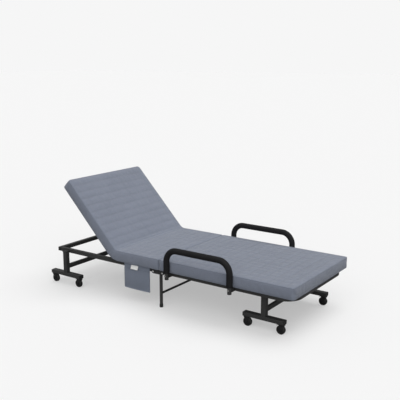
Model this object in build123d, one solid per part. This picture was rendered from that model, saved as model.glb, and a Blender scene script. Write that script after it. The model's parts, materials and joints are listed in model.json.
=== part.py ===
from build123d import *
import math
import os

# Folding guest cot on eight casters, in millimetres, +Z up, modelled open with its backrest raised.
# +X points to the foot end. Left is +Y and right is -Y, as for a person lying on the cot.
# While modelling, X = 0 is the split between the two mattress halves. Every part is moved by
# ORIGIN_SHIFT as it is written, so that the origin is the middle of the open cot, on the floor.

# Whole cot
FOOT_END = 920.0            # foot end of the mattress
HEAD_END = -998.0           # head end of the mattress when the backrest lies flat
MATTRESS_HALF_WIDTH = 359.5
MATTRESS_BOTTOM = 245.0
MATTRESS_THICKNESS = 70.0
SPLIT_GAP = 2.0             # between the two mattress halves
BACKREST_ANGLE = 46.0       # raised from flat in the modelled position
BACKREST_MAX_ANGLE = 70.0   # steepest position
RECLINE_X = -388.0          # recline pivot
RECLINE_Z = 232.5

# Frame tube, square, with its top against the mattress
TUBE = 25.0
TUBE_WALL = 1.3
RAIL_TOP = MATTRESS_BOTTOM
RAIL_BOTTOM = RAIL_TOP - TUBE
RAIL_MIDDLE = RAIL_TOP - TUBE / 2
RAIL_OUTER = 339.5
RAIL_INNER = RAIL_OUTER - TUBE
FOOT_FRAME_END = 911.0
FOOT_FRAME_CORNER = 100.0
HEAD_BAR_END = -896.5
HEAD_RAIL_END = HEAD_BAR_END + TUBE
CAP_FLANGE = 0.8

# Fold pivots, all at one height
PIVOT_Z = 226.0
PIN_RADIUS = 4.0
PIN_HOLE_RADIUS = 4.05
FOOT_PIVOT_X = 16.5         # foot half on the centre bracket
HEAD_PIVOT_X = -55.5        # head half on the centre bracket
RAIL_OVERRUN = 8.0          # rail past its centre pivot
LEG_PIVOT_OFFSET = 23.0     # leg pivot, outboard of its post
FOOT_LINK_LENGTH = 57.0
HEAD_LINK_LENGTH = 25.0
LINK_THICKNESS = 4.0
LINK_RADIUS = 9.0
STUD_HUB_RADIUS = 7.0       # spacer round a link stud
STUD_END = 1.5              # stud past the plate or tube it holds
STUD_HEAD_RADIUS = 6.5
STUD_HEAD = 3.0
BORE_SPAN = (200.0, 400.0)  # distance off the centre plane that a drilled pin hole passes through

# Leg frames: a post on a T-bar, and a low crossbar
FOOT_POST_X = 697.0
FOOT_BAR_Y = 277.0          # middle of the T-bar and its casters
FOOT_POST_SPAN = (260.0, 294.0)
HEAD_POST_X = -800.0
HEAD_BAR_Y = 358.0
HEAD_POST_SPAN = (345.5, 377.5)
POST_LENGTH_X = 30.0
POST_TOP = 236.0
LUG_RADIUS = 8.0
LUG_HALF_HEIGHT = 10.0
T_BAR_HALF = 133.0
T_BAR_WIDTH = 40.0
T_BAR_BOTTOM = 62.0
T_BAR_TOP = 86.0
LEG_WALL = 1.5
END_CAP = 3.0
CAP_CLEARANCE = 0.1         # plug to tube wall
BAR_EDGE = 3.0              # corner radius of the T-bars and crossbars
POST_EDGE = 2.5
FOOT_CROSSBAR_Z = 119.0
HEAD_CROSSBAR_Z = 126.0
CROSSBAR_HEIGHT = 30.0
CROSSBAR_DEPTH = 16.0

# Casters
WHEEL_RADIUS = 27.0
WHEEL_WIDTH = 20.0
HUB_WIDTH = 22.0
CASTER_TRAIL = 13.0
STEM_OFFSET = 121.5         # stem from the post, along the T-bar
STEM_RADIUS = 5.0
STEM_TOP = 69.0
STEM_NUT_RADIUS = 8.0
STEM_NUT_BOTTOM = 64.5
CAP_PLUG_DEPTH = 14.0       # above the stem nut, so it can reach past it
AXLE_RADIUS = 3.0
CROWN_BOTTOM = 56.0
CROWN_TOP = 59.0
CROWN_LEAD = 11.0           # crown ahead of the stem
CROWN_TRAIL = 21.0          # crown behind the stem
CROWN_EDGE = 6.0
CUP_RADIUS = 13.0
CUP_TOP = 61.7
FORK_INNER = 11.6
FORK_OUTER = 14.2
FORK_EYE_RADIUS = 7.0
AXLE_END = 1.5              # axle past each cheek
TREAD_EDGE = 5.0
DISH_RADIUS = 19.0
DISH_DEPTH = 3.0
HUB_RADIUS = 8.0
LEVER_PIN_X = 24.5          # lever pivot, on the trailing side of the stem
LEVER_PIN_Z = 57.0
LEVER_PIN_RADIUS = 1.5
LEVER_HALF_WIDTH = 7.0
LEVER_EYE_RADIUS = 2.6
EAR_INNER = 8.0
EAR_OUTER = 11.0
EAR_RADIUS = 2.5
# Lever side view: distance behind the stem, then height
LEVER_TOP = ((24.5, 59.2), (33.0, 56.2), (40.6, 51.4))
LEVER_UNDERSIDE = ((39.8, 49.4), (32.4, 53.8), (24.5, 56.6))
RUNNING_CLEARANCE = 0.05    # radial

# Centre bracket and centre legs
BRACKET_INNER = 340.0
BRACKET_OUTER = 344.0
BRACKET_RADIUS = 12.5
CENTRE_LEG_X = -5.0
CENTRE_LEG_Y = 330.0
CENTRE_LEG_RADIUS = 10.0
LEG_BOLT_X = -21.0
CENTRE_LEG_TOP = 240.0
LEG_TAB_Z = (213.0, 239.0)
CENTRE_ROD_Z = 90.0
CENTRE_ROD_RADIUS = 7.0
RUBBER_FOOT_RADIUS = 11.4
RUBBER_FOOT_HEIGHT = 20.0
RUBBER_FOOT_SOLE = 6.0

# Armrests, on the foot half
ARM_X = (77.0, 526.0)
ARM_Y = 380.0
ARM_TOP = 397.0
ARM_BOTTOM = 210.0
ARM_BEND = 75.0
ARM_RADIUS = 12.5
ARM_WALL = 1.2
FOAM_RADIUS = 18.5
FOAM_BOTTOM = 250.0
ARM_BOLT_RADIUS = 3.0
ARM_BOLT_HOLE_RADIUS = 3.3
NUT_RADIUS = 5.8
NUT_HALF = 2.5
ARM_CAP_PLUG = 8.0

# Backrest frame, recliners and slings
BACK_TUBE = 16.0
BACK_FRAME_OUTER = 306.5
BACK_FRAME_TOP = 241.0
BACK_FRAME_START = -402.0
BACK_FRAME_END = -858.0
BACK_FRAME_CORNER = 60.0
RECLINER_PLATE = 3.5
RECLINER_RADIUS = 12.0
RECLINER_PIN_RADIUS = 5.0
RECLINER_PLATE_LENGTH = 45.0
RECLINER_ARM_LENGTH = 95.0
RECLINER_ARM_THICKNESS = 4.0
SLING_BOTTOM = 242.5
SLING_TOP = 244.5
SLING_INSET = 2.5           # sling edge to tube
MATTRESS_CORNER = 20.0      # in plan
SEAT_SLING_START = -320.0
NOTCH_SETBACK = 10.0        # mattress ends either side of the recline pivot
CROSS_TUBE = 20.0
CROSS_TUBE_BOTTOM = 222.0
SEAT_CROSS_TUBE_X = (-310.0, -130.0)
FOOT_CROSS_TUBE_X = (300.0, 600.0)

# Storage pocket, hanging at the right side of the seat
POCKET_X = (-288.0, -80.0)
POCKET_BACK_Y = 346.0
POCKET_FRONT_Y = 358.0
POCKET_TOP = 242.0
POCKET_MOUTH = 212.0
POCKET_BOTTOM = 82.0
POCKET_WALL = 2.0

ORIGIN_SHIFT = -(FOOT_END + HEAD_POST_X - T_BAR_HALF) / 2
SIDES = {"left": 1, "right": -1}


def save(shape, name):
    solids = [Pos(ORIGIN_SHIFT, 0, 0) * solid for solid in shape.solids()]
    export_step(solids[0] if len(solids) == 1 else Compound(solids), "parts/" + name + ".step")


def block(xs, ys, zs):
    """Box between two X, two Y and two Z values, given in any order."""
    size = [abs(v[1] - v[0]) for v in (xs, ys, zs)]
    middle = [(v[0] + v[1]) / 2 for v in (xs, ys, zs)]
    return Pos(*middle) * Box(*size)


def rod_y(x, z, radius, ys):
    return Pos(x, (ys[0] + ys[1]) / 2, z) * Rot(90, 0, 0) * Cylinder(radius, abs(ys[1] - ys[0]))


def rod_z(x, y, radius, zs):
    return Pos(x, y, (zs[0] + zs[1]) / 2) * Cylinder(radius, abs(zs[1] - zs[0]))


def ys(sign, inner, outer):
    """Y span on one side of the cot, from distances off the centre plane."""
    return (sign * inner, sign * outer)


def on_both_sides(make):
    """Both copies of a small part, as two separate solids."""
    return group(make(sign) for sign in SIDES.values())


def group(shapes):
    """One node made of several separate pieces."""
    return Compound([solid for shape in shapes for solid in shape.solids()])


def slot_plate(x0, x1, z, radius, span):
    """Plate with round ends, lying in X between two pivots."""
    middle = block((x0, x1), span, (z - radius, z + radius))
    return middle + rod_y(x0, z, radius, span) + rod_y(x1, z, radius, span)


# Legs

def t_leg(post_x, bar_y, post_span, sign, outward, lug_inside):
    """Post welded to its T-bar, with a lug at its top for the leg pivot."""
    y = sign * bar_y
    half_x = POST_LENGTH_X / 2
    inner, outer = post_span
    half_bar = T_BAR_WIDTH / 2
    bar_span = (post_x - T_BAR_HALF + END_CAP, post_x + T_BAR_HALF - END_CAP)
    bar = block(bar_span, (y - half_bar, y + half_bar), (T_BAR_BOTTOM, T_BAR_TOP))
    bar = fillet(bar.edges().filter_by(Axis.X), BAR_EDGE)
    bar -= block(bar_span, (y - half_bar + LEG_WALL, y + half_bar - LEG_WALL),
                 (T_BAR_BOTTOM + LEG_WALL, T_BAR_TOP - LEG_WALL))
    post = block((post_x - half_x, post_x + half_x), ys(sign, inner, outer), (T_BAR_TOP, POST_TOP))
    post = fillet(post.edges().filter_by(Axis.Z), POST_EDGE)
    post -= block((post_x - half_x + LEG_WALL, post_x + half_x - LEG_WALL),
                  ys(sign, inner + LEG_WALL, outer - LEG_WALL), (T_BAR_TOP, POST_TOP - LEG_WALL))
    pivot_x = post_x + outward * LEG_PIVOT_OFFSET
    if lug_inside:
        lug_span = ys(sign, inner, inner + LINK_THICKNESS)
    else:
        lug_span = ys(sign, outer, outer + LINK_THICKNESS)
    lug = block((post_x, pivot_x), lug_span, (PIVOT_Z - LUG_HALF_HEIGHT, PIVOT_Z + LUG_HALF_HEIGHT))
    lug += rod_y(pivot_x, PIVOT_Z, LUG_RADIUS, lug_span)
    leg = bar + post + lug
    for stem_x in (post_x - STEM_OFFSET, post_x + STEM_OFFSET):
        leg -= rod_z(stem_x, y, STEM_RADIUS + RUNNING_CLEARANCE,
                     (T_BAR_BOTTOM - 1, T_BAR_BOTTOM + LEG_WALL + 1))
    return leg - rod_y(pivot_x, PIVOT_Z, PIN_HOLE_RADIUS, ys(sign, *BORE_SPAN))


def t_bar_cap(x, y, outward):
    """Moulded plug in one end of a T-bar."""
    inset = LEG_WALL + CAP_CLEARANCE
    half_bar = T_BAR_WIDTH / 2
    flange = block((x, x - outward * END_CAP), (y - half_bar, y + half_bar), (T_BAR_BOTTOM, T_BAR_TOP))
    flange = fillet(flange.edges().filter_by(Axis.X), BAR_EDGE)
    plug = block((x - outward * END_CAP, x - outward * CAP_PLUG_DEPTH),
                 (y - half_bar + inset, y + half_bar - inset), (STEM_TOP + 1, T_BAR_TOP - inset))
    return flange + plug


def crossbar(x, z, reach):
    depth = CROSSBAR_DEPTH / 2
    height = CROSSBAR_HEIGHT / 2
    bar = block((x - depth, x + depth), (-reach, reach), (z - height, z + height))
    bar = fillet(bar.edges().filter_by(Axis.Y), BAR_EDGE)
    return bar - block((x - depth + LEG_WALL, x + depth - LEG_WALL), (-reach, reach),
                       (z - height + LEG_WALL, z + height - LEG_WALL))


def leg_set(name, post_x, bar_y, post_span, crossbar_z, outward, lug_inside):
    for side, sign in SIDES.items():
        save(t_leg(post_x, bar_y, post_span, sign, outward, lug_inside), name + "_leg_" + side)
    save(crossbar(post_x, crossbar_z, post_span[0]), name + "_crossbar")
    caps = [t_bar_cap(post_x + end * T_BAR_HALF, sign * bar_y, end)
            for sign in SIDES.values() for end in (-1, 1)]
    save(group(caps), name + "_t_bar_caps")


# Casters, each with its wheel trailing towards the middle of the T-bar

def caster_fork(x, y, trail, braked):
    axle_x = x + trail * CASTER_TRAIL
    axle_z = WHEEL_RADIUS
    crown = block((x - trail * CROWN_LEAD, x + trail * CROWN_TRAIL), (y - FORK_OUTER, y + FORK_OUTER),
                  (CROWN_BOTTOM, CROWN_TOP))
    fork = fillet(crown.edges().filter_by(Axis.Z), CROWN_EDGE)
    fork += rod_z(x, y, CUP_RADIUS, (CROWN_TOP, CUP_TOP))
    fork += rod_z(x, y, STEM_RADIUS, (CUP_TOP, STEM_TOP))
    fork += rod_z(x, y, STEM_NUT_RADIUS, (STEM_NUT_BOTTOM, STEM_TOP))
    for sign in (-1, 1):
        cheek = [(x - trail * (CROWN_LEAD - 3), CROWN_TOP), (x + trail * (CROWN_TRAIL - 1), CROWN_TOP),
                 (axle_x + trail * FORK_EYE_RADIUS, axle_z), (axle_x - trail * FORK_EYE_RADIUS, axle_z)]
        face = make_face(Plane.XZ * Polyline(*cheek, close=True))
        thickness = FORK_OUTER - FORK_INNER
        low = y + min(sign * FORK_INNER, sign * FORK_OUTER)
        fork += Pos(0, low, 0) * extrude(face, amount=thickness, dir=(0, 1, 0))
        fork += rod_y(axle_x, axle_z, FORK_EYE_RADIUS, (y + sign * FORK_INNER, y + sign * FORK_OUTER))
    axle_reach = FORK_OUTER + AXLE_END
    fork += rod_y(axle_x, axle_z, AXLE_RADIUS, (y - axle_reach, y + axle_reach))
    if braked:
        pin_x = x + trail * LEVER_PIN_X
        for sign in (-1, 1):
            ear = (y + sign * EAR_INNER, y + sign * EAR_OUTER)
            fork += block((x + trail * 14, pin_x), ear, (CROWN_BOTTOM - 1.5, CROWN_TOP))
            fork += rod_y(pin_x, LEVER_PIN_Z, EAR_RADIUS, ear)
        fork += rod_y(pin_x, LEVER_PIN_Z, LEVER_PIN_RADIUS, (y - EAR_OUTER, y + EAR_OUTER))
    return fork


def caster_wheel(x, y, trail):
    """Twin-flanged wheel: rounded tread, a dished face each side and a hub boss."""
    axle_x = x + trail * CASTER_TRAIL
    half = WHEEL_WIDTH / 2
    wheel = Rot(90, 0, 0) * Cylinder(WHEEL_RADIUS, WHEEL_WIDTH)
    wheel = fillet(wheel.edges().filter_by(GeomType.CIRCLE), TREAD_EDGE)
    for sign in (-1, 1):
        wheel -= rod_y(0, 0, DISH_RADIUS, (sign * (half - DISH_DEPTH), sign * (half + 1)))
    wheel += rod_y(0, 0, HUB_RADIUS, (-HUB_WIDTH / 2, HUB_WIDTH / 2))
    wheel -= rod_y(0, 0, AXLE_RADIUS + RUNNING_CLEARANCE, (-HUB_WIDTH, HUB_WIDTH))
    return Pos(axle_x, y, WHEEL_RADIUS) * wheel


def brake_lever(x, y, trail):
    pin_x = x + trail * LEVER_PIN_X
    width = (y - LEVER_HALF_WIDTH, y + LEVER_HALF_WIDTH)
    outline = [(x + trail * behind, z) for behind, z in LEVER_TOP + LEVER_UNDERSIDE]
    face = make_face(Plane.XZ * Polyline(*outline, close=True))
    lever = Pos(0, width[0], 0) * extrude(face, amount=2 * LEVER_HALF_WIDTH, dir=(0, 1, 0))
    lever += rod_y(pin_x, LEVER_PIN_Z, LEVER_EYE_RADIUS, width)
    return lever - rod_y(pin_x, LEVER_PIN_Z, LEVER_PIN_RADIUS + RUNNING_CLEARANCE, width)


def casters():
    """The caster at the +X end of each T-bar has the brake."""
    for half, post_x, bar_y, outward in (("foot", FOOT_POST_X, FOOT_BAR_Y, 1),
                                         ("head", HEAD_POST_X, HEAD_BAR_Y, -1)):
        for side, sign in SIDES.items():
            for end in (-1, 1):
                place = "outer" if end == outward else "inner"
                name = half + "_" + side + "_" + place + "_caster"
                x = post_x + end * STEM_OFFSET
                y = sign * bar_y
                braked = end == 1
                save(caster_fork(x, y, -end, braked), name + "_fork")
                save(caster_wheel(x, y, -end), name + "_wheel")
                if braked:
                    save(brake_lever(x, y, -end), name + "_brake_lever")


# Swing links between the posts and the mattress frames

def foot_link(sign):
    """Plate outside the foot post, with a stud into the lug and a stud into the rail."""
    leg_pivot = FOOT_POST_X + LEG_PIVOT_OFFSET
    plate_inner = FOOT_POST_SPAN[1] + LINK_THICKNESS + 0.5
    plate_outer = plate_inner + LINK_THICKNESS
    link = slot_plate(leg_pivot, leg_pivot + FOOT_LINK_LENGTH, PIVOT_Z, LINK_RADIUS,
                      ys(sign, plate_inner, plate_outer))
    stud_end = plate_inner - LINK_THICKNESS - STUD_END
    link += rod_y(leg_pivot, PIVOT_Z, PIN_RADIUS, ys(sign, stud_end, plate_outer))
    frame_pivot = leg_pivot + FOOT_LINK_LENGTH
    link += rod_y(frame_pivot, PIVOT_Z, STUD_HUB_RADIUS, ys(sign, plate_outer, RAIL_INNER - 0.5))
    return link + rod_y(frame_pivot, PIVOT_Z, PIN_RADIUS, ys(sign, plate_outer, RAIL_OUTER + STUD_END))


def head_link(sign):
    """Plate between the rail and the head post, with a stud into each."""
    leg_pivot = HEAD_POST_X - LEG_PIVOT_OFFSET
    plate_inner = RAIL_OUTER + 1.5
    plate_outer = plate_inner + LINK_THICKNESS
    link = slot_plate(leg_pivot, leg_pivot - HEAD_LINK_LENGTH, PIVOT_Z, LINK_RADIUS,
                      ys(sign, plate_inner, plate_outer))
    link += rod_y(leg_pivot, PIVOT_Z, PIN_RADIUS, ys(sign, plate_outer, plate_outer + LINK_THICKNESS + 2))
    frame_pivot = leg_pivot - HEAD_LINK_LENGTH
    return link + rod_y(frame_pivot, PIVOT_Z, PIN_RADIUS, ys(sign, RAIL_INNER - STUD_END, plate_inner))


# Foot half

def u_outline(start, end, half_width, corner):
    """Rectangle in plan whose two corners at the far end are round."""
    low, high = sorted((start, end))
    outline = Pos((low + high) / 2, 0) * Rectangle(high - low, 2 * half_width)
    corners = outline.vertices().sort_by(Axis.X)
    corners = corners[-2:] if end > start else corners[:2]
    return fillet(corners, corner)


def u_frame(start, end, half_width, corner, tube, top, wall):
    """Square tube bent into a U in plan, with its open ends plugged."""
    inward = 1 if start > end else -1
    outer = u_outline(start, end, half_width, corner)
    open_end = start + inward
    inner = u_outline(open_end, end + inward * tube, half_width - tube, corner - tube)
    skin = extrude(outer, amount=tube) - extrude(inner, amount=tube)
    outer_bore = u_outline(start - inward * wall, end + inward * wall, half_width - wall, corner - wall)
    inner_bore = u_outline(open_end + inward, end + inward * (tube - wall), half_width - tube + wall,
                           corner - tube + wall)
    bore = extrude(outer_bore, amount=tube - 2 * wall) - extrude(inner_bore, amount=tube - 2 * wall)
    return Pos(0, 0, top - tube) * (skin - Pos(0, 0, wall) * bore)


def cross_tube(x):
    """Square tube between the two rails, below the sling."""
    half = CROSS_TUBE / 2
    top = CROSS_TUBE_BOTTOM + CROSS_TUBE
    tube = block((x - half, x + half), (-RAIL_INNER, RAIL_INNER), (CROSS_TUBE_BOTTOM, top))
    return tube - block((x - half + TUBE_WALL, x + half - TUBE_WALL), (-RAIL_INNER, RAIL_INNER),
                        (CROSS_TUBE_BOTTOM + TUBE_WALL, top - TUBE_WALL))


def foot_frame():
    start = FOOT_PIVOT_X - RAIL_OVERRUN
    frame = u_frame(start, FOOT_FRAME_END, RAIL_OUTER, FOOT_FRAME_CORNER, TUBE, RAIL_TOP, TUBE_WALL)
    for x in FOOT_CROSS_TUBE_X:
        frame += cross_tube(x)
    pivots = (FOOT_PIVOT_X, FOOT_POST_X + LEG_PIVOT_OFFSET + FOOT_LINK_LENGTH)
    for x in pivots:
        frame -= rod_y(x, PIVOT_Z, PIN_HOLE_RADIUS, (-RAIL_OUTER - 1, RAIL_OUTER + 1))
    for x in ARM_X:
        frame -= rod_y(x, RAIL_MIDDLE, ARM_BOLT_HOLE_RADIUS, (-RAIL_OUTER - 1, RAIL_OUTER + 1))
    return frame


def armrest_path(sign, bottom):
    y = sign * ARM_Y
    corners = [(ARM_X[0], y, bottom), (ARM_X[0], y, ARM_TOP), (ARM_X[1], y, ARM_TOP), (ARM_X[1], y, bottom)]
    return FilletPolyline(*corners, radius=ARM_BEND)


def swept_pipe(path, start, outer, inner):
    plane = Plane(origin=start, z_dir=(0, 0, 1))
    return sweep(plane * Circle(outer), path=path) - sweep(plane * Circle(inner), path=path)


def armrest_tube(sign):
    path = armrest_path(sign, ARM_BOTTOM)
    tube = swept_pipe(path, (ARM_X[0], sign * ARM_Y, ARM_BOTTOM), ARM_RADIUS, ARM_RADIUS - ARM_WALL)
    for x in ARM_X:
        tube -= rod_y(x, RAIL_MIDDLE, ARM_BOLT_HOLE_RADIUS, ys(sign, RAIL_INNER, ARM_Y + FOAM_RADIUS))
    return tube


def armrest_foam(sign):
    path = armrest_path(sign, FOAM_BOTTOM)
    return swept_pipe(path, (ARM_X[0], sign * ARM_Y, FOAM_BOTTOM), FOAM_RADIUS, ARM_RADIUS + CAP_CLEARANCE)


def armrest_spacer(sign, x):
    """Saddle block that holds an armrest leg off the rail."""
    block_half = TUBE / 2
    spacer = block((x - block_half, x + block_half), ys(sign, RAIL_OUTER, ARM_Y - 7),
                   (RAIL_BOTTOM, RAIL_TOP - 1))
    spacer -= rod_z(x, sign * ARM_Y, ARM_RADIUS, (RAIL_BOTTOM - 1, RAIL_TOP + 1))
    return spacer - rod_y(x, RAIL_MIDDLE, ARM_BOLT_HOLE_RADIUS, ys(sign, RAIL_INNER, ARM_Y + FOAM_RADIUS))


def armrest_bolt(sign, x):
    """Dome-head bolt through the armrest leg, spacer and rail, with its nut inside the rail."""
    bolt = rod_y(x, RAIL_MIDDLE, ARM_BOLT_RADIUS, ys(sign, RAIL_INNER - 6, ARM_Y + ARM_RADIUS + 1))
    head = rod_y(x, RAIL_MIDDLE, STUD_HEAD_RADIUS, ys(sign, ARM_Y + ARM_RADIUS + 0.2, ARM_Y + ARM_RADIUS + 4))
    nut = Pos(x, sign * (RAIL_INNER - 3), RAIL_MIDDLE) * Rot(90, 0, 0) * extrude(
        RegularPolygon(NUT_RADIUS, 6), amount=NUT_HALF, both=True)
    return bolt + head + nut


def armrest_cap(sign, x):
    y = sign * ARM_Y
    cap = rod_z(x, y, ARM_RADIUS, (ARM_BOTTOM - END_CAP, ARM_BOTTOM))
    cap = fillet(cap.edges().group_by(Axis.Z)[0], 1.5)
    return cap + rod_z(x, y, ARM_RADIUS - ARM_WALL - CAP_CLEARANCE, (ARM_BOTTOM, ARM_BOTTOM + ARM_CAP_PLUG))


def foot_sling():
    outline = u_outline(FOOT_PIVOT_X + 6, FOOT_FRAME_END - TUBE - SLING_INSET, RAIL_INNER - SLING_INSET,
                        FOOT_FRAME_CORNER - TUBE)
    return Pos(0, 0, SLING_BOTTOM) * extrude(outline, amount=SLING_TOP - SLING_BOTTOM)


def mattress(x_low, x_high, round_edges):
    top = MATTRESS_BOTTOM + MATTRESS_THICKNESS
    pad = block((x_low, x_high), (-MATTRESS_HALF_WIDTH, MATTRESS_HALF_WIDTH), (MATTRESS_BOTTOM, top))
    outer = pad.edges().filter_by(Axis.Z).sort_by(Axis.X)
    return fillet(outer[-2:] if round_edges == "high" else outer[:2], MATTRESS_CORNER)


def foot_half():
    save(foot_frame(), "foot_frame")
    save(foot_sling(), "foot_sling")
    save(mattress(SPLIT_GAP / 2, FOOT_END, "high"), "foot_mattress")
    for side, sign in SIDES.items():
        save(armrest_tube(sign), "armrest_tube_" + side)
        save(armrest_foam(sign), "armrest_foam_" + side)
    ends = [(sign, x) for sign in SIDES.values() for x in ARM_X]
    save(group(armrest_spacer(*end) for end in ends), "armrest_spacers")
    save(group(armrest_bolt(*end) for end in ends), "armrest_bolts")
    save(group(armrest_cap(*end) for end in ends), "armrest_caps")


# Centre section

def centre_bracket(sign):
    """Plate that joins the two halves, with a headed stud at each pivot and a head for the leg bolt."""
    bracket = slot_plate(HEAD_PIVOT_X, FOOT_PIVOT_X, PIVOT_Z, BRACKET_RADIUS,
                         ys(sign, BRACKET_INNER, BRACKET_OUTER))
    for x in (HEAD_PIVOT_X, FOOT_PIVOT_X):
        bracket += rod_y(x, PIVOT_Z, PIN_RADIUS, ys(sign, RAIL_INNER - STUD_END, BRACKET_OUTER))
    for x in (HEAD_PIVOT_X, LEG_BOLT_X, FOOT_PIVOT_X):
        bracket += rod_y(x, PIVOT_Z, STUD_HEAD_RADIUS, ys(sign, BRACKET_OUTER, BRACKET_OUTER + STUD_HEAD))
    return bracket


def centre_leg(sign):
    """Round leg with a flat tab welded on, which bolts to the centre bracket."""
    y = sign * CENTRE_LEG_Y
    leg = rod_z(CENTRE_LEG_X, y, CENTRE_LEG_RADIUS, (RUBBER_FOOT_SOLE, CENTRE_LEG_TOP))
    leg += block((LEG_BOLT_X - 9, CENTRE_LEG_X + 8), ys(sign, BRACKET_INNER - 5, BRACKET_INNER), LEG_TAB_Z)
    leg -= rod_z(CENTRE_LEG_X, y, CENTRE_LEG_RADIUS - LEG_WALL, (RUBBER_FOOT_SOLE, CENTRE_LEG_TOP - 2))
    return leg - rod_y(CENTRE_LEG_X, CENTRE_ROD_Z, CENTRE_ROD_RADIUS, ys(sign, 0, CENTRE_LEG_Y - 8))


def rubber_foot(sign):
    y = sign * CENTRE_LEG_Y
    foot = rod_z(CENTRE_LEG_X, y, RUBBER_FOOT_RADIUS, (0, RUBBER_FOOT_HEIGHT))
    foot = fillet(foot.edges().group_by(Axis.Z)[-1], 0.8)
    return foot - rod_z(CENTRE_LEG_X, y, CENTRE_LEG_RADIUS, (RUBBER_FOOT_SOLE, RUBBER_FOOT_HEIGHT + 1))


def centre_section():
    for side, sign in SIDES.items():
        save(centre_bracket(sign), "centre_bracket_" + side)
        save(centre_leg(sign), "centre_leg_" + side)
    rod = rod_y(CENTRE_LEG_X, CENTRE_ROD_Z, CENTRE_ROD_RADIUS, (8 - CENTRE_LEG_Y, CENTRE_LEG_Y - 8))
    save(rod, "centre_leg_rod")
    save(on_both_sides(rubber_foot), "centre_leg_rubber_feet")


# Head half

def head_rail(sign):
    start = HEAD_PIVOT_X + RAIL_OVERRUN
    rail = block((HEAD_RAIL_END, start), ys(sign, RAIL_INNER, RAIL_OUTER), (RAIL_BOTTOM, RAIL_TOP))
    rail -= block((HEAD_RAIL_END, start - TUBE_WALL),
                  ys(sign, RAIL_INNER + TUBE_WALL, RAIL_OUTER - TUBE_WALL),
                  (RAIL_BOTTOM + TUBE_WALL, RAIL_TOP - TUBE_WALL))
    for x in (HEAD_PIVOT_X, HEAD_POST_X - LEG_PIVOT_OFFSET - HEAD_LINK_LENGTH):
        rail -= rod_y(x, PIVOT_Z, PIN_HOLE_RADIUS, ys(sign, *BORE_SPAN))
    return rail


def head_end_bar():
    bar = block((HEAD_BAR_END, HEAD_RAIL_END), (-RAIL_OUTER, RAIL_OUTER), (RAIL_BOTTOM, RAIL_TOP))
    return bar - block((HEAD_BAR_END + TUBE_WALL, HEAD_RAIL_END - TUBE_WALL), (-RAIL_OUTER, RAIL_OUTER),
                       (RAIL_BOTTOM + TUBE_WALL, RAIL_TOP - TUBE_WALL))


def end_bar_cap(sign):
    inset = TUBE_WALL + CAP_CLEARANCE
    cap = block((HEAD_BAR_END, HEAD_RAIL_END), ys(sign, RAIL_OUTER, RAIL_OUTER + CAP_FLANGE),
                (RAIL_BOTTOM, RAIL_TOP))
    return cap + block((HEAD_BAR_END + inset, HEAD_RAIL_END - inset), ys(sign, RAIL_OUTER - 10, RAIL_OUTER),
                       (RAIL_BOTTOM + inset, RAIL_TOP - inset))


def seat_cross_tubes():
    return group(cross_tube(x) for x in SEAT_CROSS_TUBE_X)


def recliner_body(sign):
    """Ratchet plate on the inside of the rail, with the pivot pin."""
    span = ys(sign, RAIL_INNER - RECLINER_PLATE, RAIL_INNER)
    plate = slot_plate(RECLINE_X, RECLINE_X + RECLINER_PLATE_LENGTH, RECLINE_Z, RECLINER_RADIUS - 2, span)
    plate += rod_y(RECLINE_X, RECLINE_Z, RECLINER_RADIUS, span)
    return plate + rod_y(RECLINE_X, RECLINE_Z, RECLINER_PIN_RADIUS,
                         ys(sign, BACK_FRAME_OUTER - 4, RAIL_INNER))


def notch_cut(toward, setback):
    """Wedge that cuts a mattress end back from the recline pivot, so the raised halves clear."""
    lean = MATTRESS_THICKNESS * math.tan(math.radians(BACKREST_MAX_ANGLE / 2))
    x = RECLINE_X + toward * setback
    reach = MATTRESS_HALF_WIDTH + 5
    corners = [(x, MATTRESS_BOTTOM), (x + toward * lean, MATTRESS_BOTTOM + MATTRESS_THICKNESS),
               (x - toward * 60, MATTRESS_BOTTOM + MATTRESS_THICKNESS), (x - toward * 60, MATTRESS_BOTTOM)]
    face = make_face(Plane.XZ * Polyline(*corners, close=True))
    return Pos(0, -reach, 0) * extrude(face, amount=2 * reach, dir=(0, 1, 0))


def seat_mattress():
    top = MATTRESS_BOTTOM + MATTRESS_THICKNESS
    pad = block((RECLINE_X - 5, -SPLIT_GAP / 2), (-MATTRESS_HALF_WIDTH, MATTRESS_HALF_WIDTH),
                (MATTRESS_BOTTOM, top))
    return pad - notch_cut(1, NOTCH_SETBACK)


def seat_sling():
    reach = RAIL_INNER - SLING_INSET
    return block((SEAT_SLING_START, HEAD_PIVOT_X - 6), (-reach, reach), (SLING_BOTTOM, SLING_TOP))


def storage_pocket():
    """Flat cloth pocket, open at the top, with a back panel that is taller than its front."""
    low, high = POCKET_X
    wall = POCKET_WALL
    pocket = block(POCKET_X, (-POCKET_BACK_Y, -POCKET_FRONT_Y), (POCKET_BOTTOM, POCKET_MOUTH))
    pocket -= block((low + wall, high - wall), (-POCKET_BACK_Y - wall, -POCKET_FRONT_Y + wall),
                    (POCKET_BOTTOM + wall, POCKET_MOUTH + 1))
    return pocket + block(POCKET_X, (-POCKET_BACK_Y, -POCKET_BACK_Y - wall), (POCKET_MOUTH, POCKET_TOP))


def head_half():
    for side, sign in SIDES.items():
        save(head_rail(sign), "head_rail_" + side)
    save(head_end_bar(), "head_end_bar")
    save(on_both_sides(end_bar_cap), "head_end_bar_caps")
    save(seat_cross_tubes(), "seat_cross_tubes")
    save(on_both_sides(recliner_body), "recliner_bodies")
    save(seat_sling(), "seat_sling")
    save(seat_mattress(), "seat_mattress")
    save(storage_pocket(), "storage_pocket")


# Backrest, modelled flat and then raised about the recline pivot

def raised(shape):
    pivot = Pos(RECLINE_X, 0, RECLINE_Z)
    return pivot * Rot(0, BACKREST_ANGLE, 0) * Pos(-RECLINE_X, 0, -RECLINE_Z) * shape


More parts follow.
